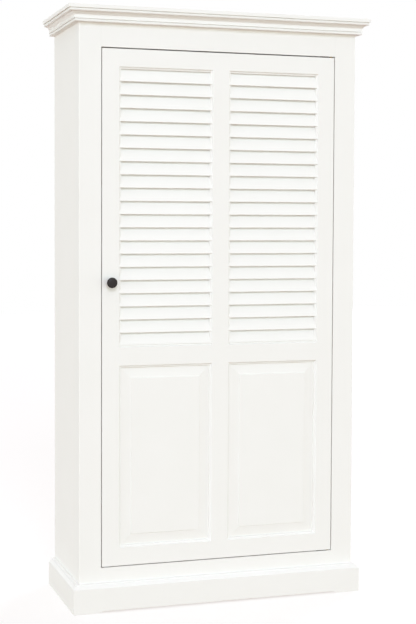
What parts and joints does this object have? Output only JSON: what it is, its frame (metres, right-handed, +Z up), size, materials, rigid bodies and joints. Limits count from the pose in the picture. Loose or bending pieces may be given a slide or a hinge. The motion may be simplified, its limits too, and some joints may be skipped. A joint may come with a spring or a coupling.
{
  "type": "louvred door cabinet",
  "caption": "Tall painted cupboard with a crown cornice, a moulded plinth and a wide inset door of louvre banks over raised panels, turning on knife hinges in front of loose shelves.",
  "frame": {"origin": "on the floor under the centre of the footprint, midway between the crown's two ends and midway between the crown's front edge and the back panel", "axes": "+X to the right as seen from the front, +Y towards the back, +Z up; the door faces -Y"},
  "size_m": [1.062, 0.431, 2],
  "materials": {
    "painted_wood": "brushed satin off-white paint",
    "black_enamel": "satin black enamel",
    "steel": "zinc plated",
    "hinge_brass": "satin",
    "white_plastic": "moulded, matt",
    "magnet": "bare ferrite, matt"
  },
  "bodies": {
    "case": {"side_panel_left": "painted_wood", "side_panel_right": "painted_wood", "top_panel": "painted_wood", "bottom_panel": "painted_wood", "rear_foot_rail": "painted_wood", "back_panel": "painted_wood", "face_stile_left": "painted_wood", "face_stile_right": "painted_wood", "face_rail_top": "painted_wood", "face_rail_bottom": "painted_wood", "crown_front": "painted_wood", "crown_left": "painted_wood", "crown_right": "painted_wood", "plinth_front": "painted_wood", "plinth_left": "painted_wood", "plinth_right": "painted_wood", "shelf_1": "painted_wood", "shelf_2": "painted_wood", "shelf_3": "painted_wood", "shelf_4": "painted_wood", "shelf_support_1_left_front": "steel", "shelf_support_1_left_rear": "steel", "shelf_support_1_right_front": "steel", "shelf_support_1_right_rear": "steel", "shelf_support_2_left_front": "steel", "shelf_support_2_left_rear": "steel", "shelf_support_2_right_front": "steel", "shelf_support_2_right_rear": "steel", "shelf_support_3_left_front": "steel", "shelf_support_3_left_rear": "steel", "shelf_support_3_right_front": "steel", "shelf_support_3_right_rear": "steel", "shelf_support_4_left_front": "steel", "shelf_support_4_left_rear": "steel", "shelf_support_4_right_front": "steel", "shelf_support_4_right_rear": "steel", "hinge_top_frame_leaf": "hinge_brass", "hinge_top_washer": "hinge_brass", "hinge_bottom_frame_leaf": "hinge_brass", "hinge_bottom_washer": "hinge_brass", "catch_housing": "white_plastic", "catch_magnet": "magnet"},
    "door": {"door_stile_left": "painted_wood", "door_stile_right": "painted_wood", "door_rail_top": "painted_wood", "door_rail_middle": "painted_wood", "door_rail_bottom": "painted_wood", "door_mullion_upper": "painted_wood", "door_mullion_lower": "painted_wood", "panel_left": "painted_wood", "panel_right": "painted_wood", "louvre_bank_left": "painted_wood", "louvre_bank_right": "painted_wood", "knob": "black_enamel", "knob_bolt": "steel", "hinge_top_door_leaf": "hinge_brass", "hinge_bottom_door_leaf": "hinge_brass", "catch_strike": "steel"}
  },
  "joints": [
    {"name": "door_hinge", "type": "hinge", "parent": "case", "child": "door", "pos_m": [0.402, -0.1675, 1.008], "axis": [0, 0, 1], "range_deg": [0, 110]}
  ]
}
